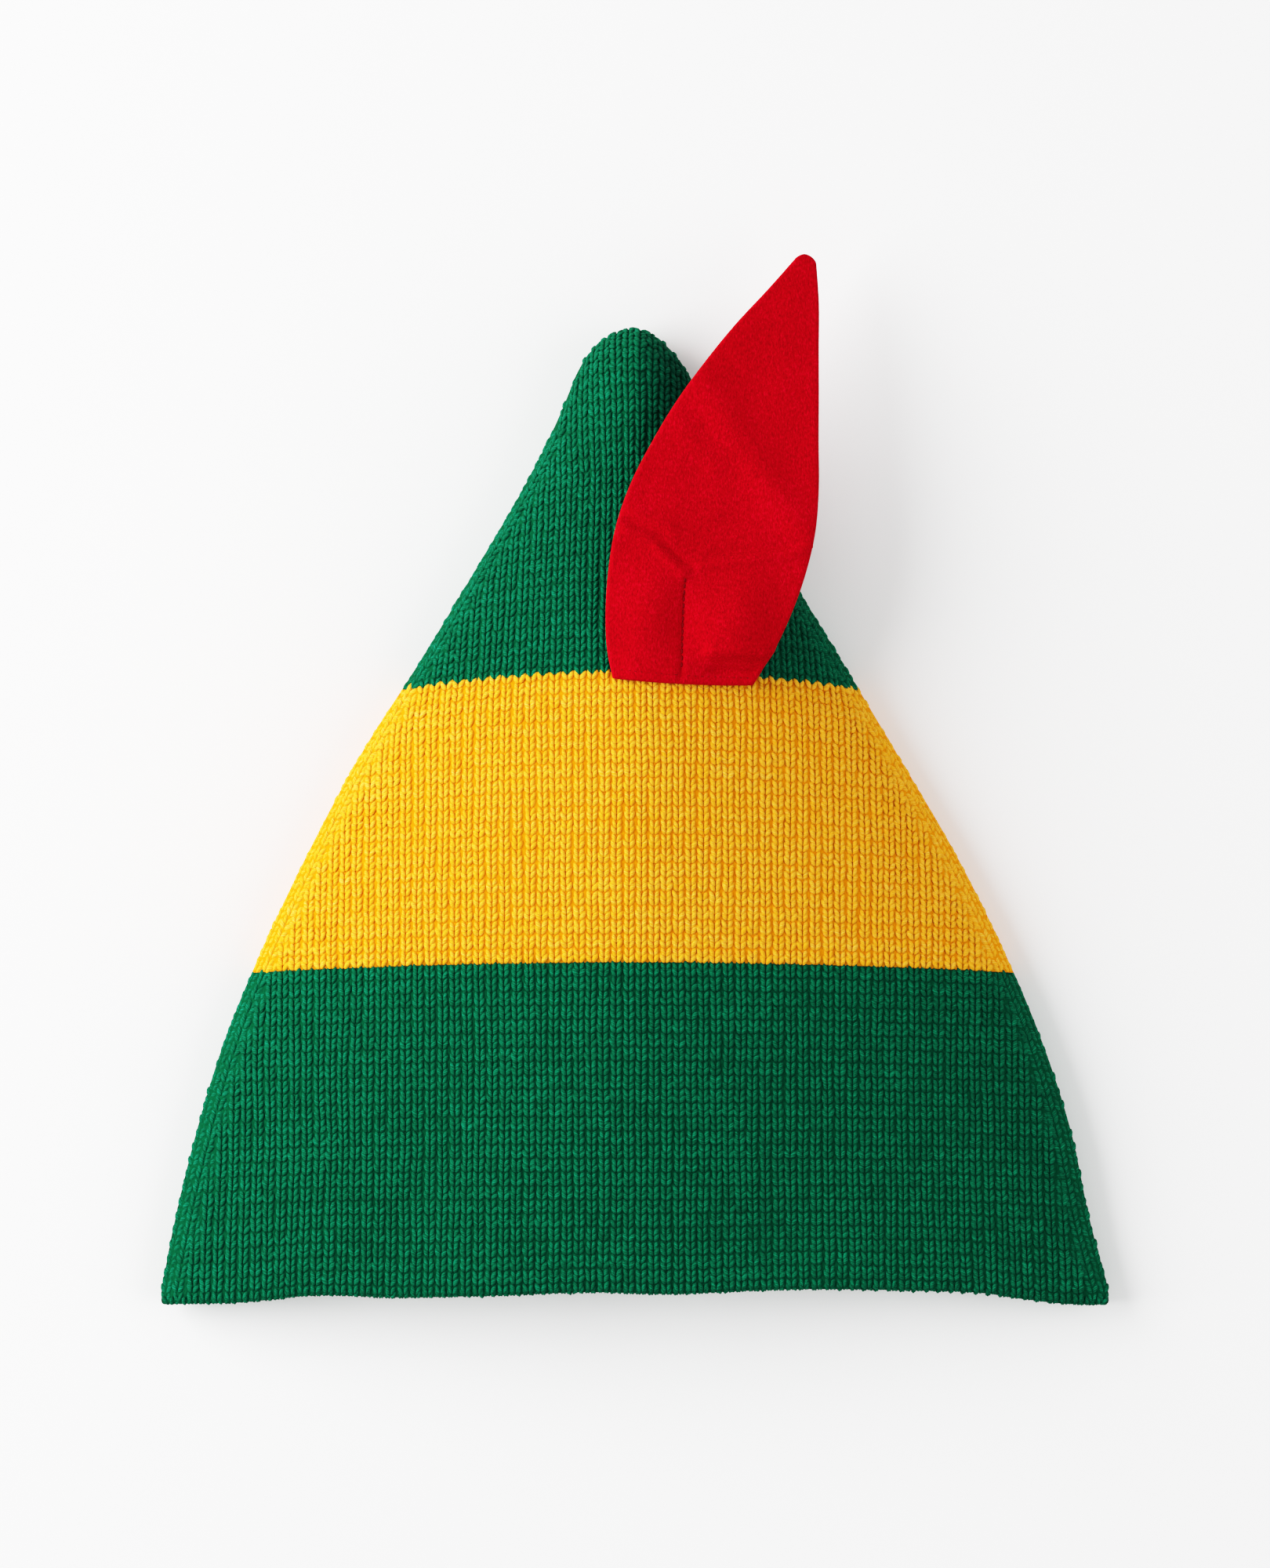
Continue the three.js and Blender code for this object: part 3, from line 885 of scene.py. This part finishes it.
rings += [cloth_ring(c, ground_depth) for c in courses] + [tip - [[0, ground_depth, 0]]]
shells["crown_cloth"] = cloth_object("crown_cloth", rings, False, green_loops_painted_shade)

# %% [markdown]
# ## The felt feather
# The feather is a leaf of thick red felt, cut from a sheet, sewn along its foot and pinched by a dart, so its
# foot stands up in two puffs. Its outline, lie and puffs are the CAD source's formulas. A finer grid lets the
# felt show what is too small for the solid: the folds that run out from the dart, and the fold at the foot.

# %% The feather's tables
# up, left, right, lift
leaf = np.array([
    (0.00, 0.352, 0.345, 0.84), (0.05, 0.415, 0.375, 0.85), (0.10, 0.460, 0.403, 0.85),
    (0.20, 0.520, 0.435, 0.84), (0.30, 0.550, 0.447, 0.82), (0.40, 0.538, 0.435, 0.79),
    (0.50, 0.492, 0.390, 0.76), (0.60, 0.430, 0.325, 0.72), (0.70, 0.348, 0.262, 0.68),
    (0.80, 0.252, 0.197, 0.64), (0.90, 0.138, 0.133, 0.60), (1.00, 0.030, 0.052, 0.56),
])
bank_slope, leaf_softness, steepest_ratio = 0.12, 1.5 * millimetre, 2
foot_slope, foot_slope_power, leaf_tip_share = 0.236, 4, 0.985
feather_loft, feather_gap = 4.5 * millimetre, 0.3 * millimetre
# up, across, tall, wide, rise
leaf_puffs = np.array([(0.14, 0.17, 0.11, 0.20, 0.75), (0.15, -0.27, 0.12, 0.18, 0.45)])
dart_foot, dart_end, dart_wide = (0.017, -0.024), (0.232, -0.147), 0.07
sewn_from, sewn_to = 0.02, 0.12
foot_sag, sag_power, sag_wide = 0.9 * millimetre, 12, 2.4
leaf_curve = curve_through(leaf)
# Folds between two places of the felt, which fade out at the second one: up and across of both, then height
# and half width in millimetres
felt_folds = np.array([
    (*dart_foot, *dart_end, -0.6, 0.8),
    (0.236, -0.155, 0.288, -0.34, 0.75, 1.4),
    (0.262, -0.180, 0.300, -0.36, -0.65, 1.0),
    (0.290, -0.330, 0.300, -0.53, 0.65, 1.2),
    (0.312, -0.300, 0.322, -0.53, -0.5, 1.0),
    (0.330, -0.280, 0.345, -0.53, 0.5, 1.3),
    (0.262, -0.080, 0.345, 0.43, 0.7, 1.5),
    (0.285, -0.050, 0.365, 0.40, -0.5, 1.2),
    (0.350, -0.450, 0.375, -0.05, 0.3, 1.6),
    (0.648, -0.302, 0.362, 0.444, 1.1, 5.0),
    (0.560, -0.400, 0.470, -0.10, 0.4, 3.0),
    (0.078, 0.100, 0.088, 0.40, 1.8, 2.0),
    (0.036, 0.130, 0.036, 0.36, -1.0, 1.3),
    (0.018, -0.35, 0.018, 0.345, -0.3, 0.7),
])


def knitting_under(x, y):
    """The height at which felt lies on the knitting, or none outside its outline."""
    along = (y - frame_shift - mouth_roll) / (body_height - mouth_roll)
    left, right = section_at(along, "left", "right")
    reach = np.maximum(brim_width / 2 * np.where(x > 0, right, left) * tip_closing(along), 1e-6)
    across = x / reach
    inside = (along < 1) & (np.abs(across) < 1)
    across, along = np.where(inside, across, 0), np.where(inside, along, 0.5)
    nudge = 1e-3
    z = top_height(across, along)
    slope_x = (top_height(across + nudge, along) - z) / (nudge * reach)
    slope_y = (top_height(across, along + nudge) - z) / (nudge * body_height)
    stretch = np.minimum(steepest_ratio, np.sqrt(1 + slope_x ** 2 + slope_y ** 2))
    return np.where(inside, z + (feather_gap + felt_thickness / 2) * stretch, 0)


def leaf_rise(up, across):
    """How far the felt stands up beside its dart."""
    rise = 0
    for height, middle, tall, wide, share in leaf_puffs:
        rise = rise + share * np.exp(-((across - middle) / wide) ** 2 - ((up - height) / tall) ** 2)
    share = np.clip((up - dart_foot[0]) / (dart_end[0] - dart_foot[0]), 0, 1)
    off_dart = (across - (dart_foot[1] + (dart_end[1] - dart_foot[1]) * share)) / dart_wide
    pinch = 1 - (1 - share ** 2) * np.exp(-off_dart ** 2)
    return feather_loft * rise * pinch * smooth(np.clip((up - sewn_from) / (sewn_to - sewn_from), 0, 1))


def fold_rise(up, across):
    """The small folds, creases and seams of the felt, over a slow unevenness of a tenth of a millimetre."""
    rise = 0.1 * np.sin(9 * across + 21 * up) * np.sin(13 * up - 17 * across + 1)
    for up_from, across_from, up_to, across_to, height, wide in felt_folds:
        line = np.array([(up_to - up_from) * feather_length, (across_to - across_from) * feather_width])
        off = [(up - up_from) * feather_length, (across - across_from) * feather_width]
        share = np.clip((off[0] * line[0] + off[1] * line[1]) / (line @ line), 0, 1)
        far = np.hypot(off[0] - share * line[0], off[1] - share * line[1]) / (wide * millimetre)
        rise = rise + height * np.exp(-far ** 2) * np.clip(6 * (1 - share), 0, 1) ** 0.5
    return rise * millimetre


def felt_place(up, across):
    """Points of the felt's middle surface, `across` being a share of its width."""
    right = across * feather_width
    forward = up * feather_length + foot_slope * right * (1 - up) ** foot_slope_power
    forward = forward - foot_sag * (1 - up) ** sag_power * (1 - (sag_wide * across) ** 2)
    x = feather_right + forward * math.sin(feather_tilt) + right * math.cos(feather_tilt)
    y = foot_y + frame_shift + forward * math.cos(feather_tilt) - right * math.sin(feather_tilt)
    free = leaf_curve(up)[..., 2] * puff - bank_slope * right
    carried = knitting_under(x, y)
    lie = (free + carried + np.hypot(free - carried, leaf_softness)) / 2
    return np.stack([x, y, lie + leaf_rise(up, across) + fold_rise(up, across)], axis=-1)


def felt_facing(up, across, step):
    """The outward direction of the felt, from places one step away."""
    to_right = felt_place(up, across + step) - felt_place(up, across - step)
    to_tip = felt_place(np.minimum(up + step, 1), across) - felt_place(np.maximum(up - step, 0), across)
    return unit(np.cross(to_right, to_tip))


# %% Make the felt
felt_rows, felt_columns, edge_steps = 200, 80, 3
widest_rim, felt_step = 0.45, 2e-3
edge_angles = np.linspace(math.pi / 2, 0, edge_steps + 1)
half_felt = felt_thickness / 2
inner_rows = np.linspace(half_felt / feather_length, leaf_tip_share, felt_rows)
foot_rows = half_felt / feather_length * (1 - np.sin(edge_angles))
tip_rows = leaf_tip_share + (1 - leaf_tip_share) * np.sin(np.linspace(0, math.pi / 2, 6))
ups = np.concatenate([foot_rows[:-1], inner_rows, tip_rows[1:]])
edge_thin = np.cos(edge_angles)[:-1]
foot_thin = np.concatenate([edge_thin, np.ones(len(ups) - edge_steps)])
tip_past = np.clip((ups - leaf_tip_share) / (1 - leaf_tip_share), 0, 1)
thin_up = np.minimum(foot_thin, np.sqrt(1 - tip_past ** 2))
flat = np.linspace(-1, 1, felt_columns)
thin_across = np.concatenate([edge_thin, np.ones(felt_columns), edge_thin[::-1]])


def felt_grid():
    """The felt's rows and columns as places of the leaf, closer together in its rounded rim."""
    left, right = leaf_curve(ups)[:, :2].T * np.sqrt(1 - tip_past ** 2)
    rim = np.minimum(half_felt / feather_width, widest_rim * (left + right) / 2)
    middle, half = (right - left) / 2, (right + left) / 2
    inner = middle[:, None] + np.maximum(half - rim, 0)[:, None] * flat
    outer = np.maximum(half - rim, 0)[:, None] + rim[:, None] * np.sin(edge_angles[:-1])
    across = np.concatenate([middle[:, None] - outer, inner, middle[:, None] + outer[:, ::-1]], axis=1)
    return np.repeat(ups[:, None], across.shape[1], axis=1), across


up_grid, across_grid = felt_grid()
felt_middle = felt_place(up_grid, across_grid)
felt_out = felt_facing(up_grid, across_grid, felt_step)
thickness = (half_felt * thin_up[:, None] * thin_across)[..., None]
upper, lower = felt_middle + felt_out * thickness, felt_middle - felt_out * thickness
felt_points = np.concatenate([upper.reshape(-1, 3), lower.reshape(-1, 3)])
wide_count, high_count = up_grid.shape[1], up_grid.shape[0]
under = wide_count * high_count
felt_faces = []
for r in range(high_count - 1):
    for c in range(wide_count - 1):
        a = r * wide_count + c
        felt_faces.append((a, a + 1, a + 1 + wide_count, a + wide_count))
        felt_faces.append((a + under, a + under + wide_count, a + under + wide_count + 1, a + under + 1))
feather = mesh_object("feather_felt", felt_points, felt_faces)
cut = bmesh.new()
cut.from_mesh(feather.data)
bmesh.ops.remove_doubles(cut, verts=cut.verts, dist=1e-7)
bmesh.ops.dissolve_degenerate(cut, edges=cut.edges, dist=1e-8)
bmesh.ops.recalc_face_normals(cut, faces=cut.faces)
cut.to_mesh(feather.data)
print("feather:", len(cut.faces), "faces,", sum(not e.is_manifold for e in cut.edges), "open edges,",
      round(cut.calc_volume() * 1e6, 2), "cubic cm")
cut.free()
feather.data.shade_smooth()


def felt_material(name, deep, usual, bright):
    """Matted fibres in three tones, with larger pale and dark patches."""
    material = new_material(name, 0.9, 0.05, **soft_sheen(0.05, bright))
    tree = material.node_tree
    fibres, hairs = placed(material, fine_fibres, Size=0.4), placed(material, fine_fibres, Size=0.9)
    level = times(tree, spread(tree, fibres.outputs["Fibres"], 0.25, 0.75), 0.7)
    level = plus(tree, level, times(tree, fibres.outputs["Patches"], 0.3))
    lower = mixed(tree, spread(tree, level, 0.15, 0.5), deep, usual)
    colour = mixed(tree, spread(tree, level, 0.55, 0.9), lower, bright)
    height = plus(tree, fibres.outputs["Fibres"], hairs.outputs["Fibres"])
    return coloured(material, colour, height, 0.5, 0.3 * millimetre)


red_felt = felt_material("red felt", linear(132, 0, 12), linear(171, 0, 20), linear(208, 3, 45))
feather.data.materials.append(red_felt)


# %% [markdown]
# The dart and the foot are sewn with dark red thread. Each stitch of thread is a short closed grain, and the
# tree of stitches puts them in a row. Those of the dart lie in its crease, and those of the foot are pulled
# into the felt.

# %% Sewing stitches
thread_length, thread_radius, thread_pitch = 1.4 * millimetre, 0.27 * millimetre, 1.65 * millimetre
seam_step = 4e-3


def thread_grain():
    """One stitch of thread along Y, as a closed grain."""
    around, rings = np.radians([0, 60, 120, 180, 240, 300]), (-0.42, -0.2, 0.2, 0.42)
    points = [(thread_radius * (1 - (1.8 * t) ** 4) * math.cos(a), thread_length * t,
               thread_radius * (1 - (1.8 * t) ** 4) * math.sin(a)) for t in rings for a in around]
    points += [(0, -thread_length / 2, 0), (0, thread_length / 2, 0)]
    count, last = len(around), len(around) * (len(rings) - 1)
    faces = []
    for i in range(count):
        j = (i + 1) % count
        faces += [(len(points) - 2, i, j), (len(points) - 1, last + j, last + i)]
        faces += [(k + i, k + count + i, k + count + j, k + j) for k in range(0, last, count)]
    return mesh_object("thread_grain", points, faces)


def seam_chart(start, end, sunk_by):
    """Stitches of thread between two places of the felt, each given as up and across, sunk by millimetres."""
    start, end = np.array(start), np.array(end)
    count = max(2, round(np.linalg.norm((end - start) * (feather_length, feather_width)) / thread_pitch))
    places = start + (end - start) * ((np.arange(count) + 0.5) / count)[:, None]
    nudge = seam_step * (end - start)
    along = unit(felt_place(*(places + nudge).T) - felt_place(*(places - nudge).T))
    out = felt_facing(*places.T, seam_step)
    place = felt_place(*places.T) + out * (half_felt - sunk_by * millimetre)
    return dict(zip(columns, (place, out, along, np.ones((count, 3)), chance.normal(0, tone_jitter, count))))


seam_up = 0.018
seams = join_columns([seam_chart((dart_foot[0] + 0.016, dart_foot[1] - 0.008), dart_end, -0.1),
                      seam_chart((seam_up, -0.33), (seam_up, 0.32), 0.21)])
red_thread = new_material("dark red thread", 0.7, 0.1, **{"Base Color": (*linear(118, 0, 10), 1)})
grain_of_thread = thread_grain()
feather_stitches = knitted("feather_stitches", seams, grain_of_thread, red_thread, 200)
bpy.data.objects.remove(grain_of_thread)

# %% [markdown]
# ## Table and light
# The hat lies on a pale table under a large soft light from the upper left, with a pale sky around it.

# %% Table
table_half = 1.5
table_corners = [(x * table_half, y * table_half, 0) for x, y in ((-1, -1), (1, -1), (1, 1), (-1, 1))]
table = mesh_object("table", table_corners, [(0, 1, 2, 3)])
glow = {"Emission Color": (1, 1, 1, 1), "Emission Strength": 0.16}
pale = new_material("pale table", 0.9, 0.1, **{"Base Color": (0.77, 0.77, 0.77, 1)}, **glow)
table.data.materials.append(pale)

# %% Light


def area_light(name, place, aim, size, power):
    data = bpy.data.lights.new(name, "AREA")
    data.shape, data.size, data.energy = "DISK", size, power
    made = bpy.data.objects.new(name, data)
    made.location = place
    made.rotation_mode = "QUATERNION"
    made.rotation_quaternion = (Vector(aim) - Vector(place)).to_track_quat("-Z", "Y")
    bpy.context.scene.collection.objects.link(made)


area_light("key", (-1.33, 0.3, 0.82), (0, 0, 0), 1.7, 46)
area_light("fill", (1.3, -0.2, 1.1), (0, 0, 0), 1.6, 12)
sky = bpy.data.worlds.new("sky")
sky.use_nodes = True
joined(sky.node_tree, sky.node_tree.nodes["Background"], Color=(1, 1, 1, 1), Strength=0.39)
bpy.context.scene.world = sky

# %% [markdown]
# ## The camera's response
# A camera gives bright places less contrast than dark ones. The curve does the same: the pale table stays
# just below white, the yellow keeps its colour, and the green keeps the dark lines between its wales.

# %% Response curve
view = bpy.context.scene.view_settings
view.view_transform = "Standard"
view.use_curve_mapping = True
brightest = 2.0
view.curve_mapping.white_level = (brightest, brightest, brightest)
response = [
    (0.02, 0.012), (0.05, 0.035), (0.1, 0.093), (0.14, 0.154), (0.17, 0.203), (0.23, 0.29), (0.3, 0.378),
    (0.44, 0.525), (0.66, 0.74), (0.8, 0.815), (1.0, 0.885), (1.2, 0.938), (1.3, 0.962), (1.5, 0.985),
]
for received, shown in response:
    view.curve_mapping.curves[3].points.new(received / brightest, shown)
view.curve_mapping.update()

# %% [markdown]
# ## Hand over
# Every piece rides on the hat's one body and stands for its CAD node, which is hidden.

# %% Ride and nodes
for name, piece in {**knitting, **shells}.items():
    band = name.split("_")[0]
    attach(piece, "root")
    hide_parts(band_of[band])
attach(feather, "root")
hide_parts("feather")
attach(feather_stitches, "root")
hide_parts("feather")
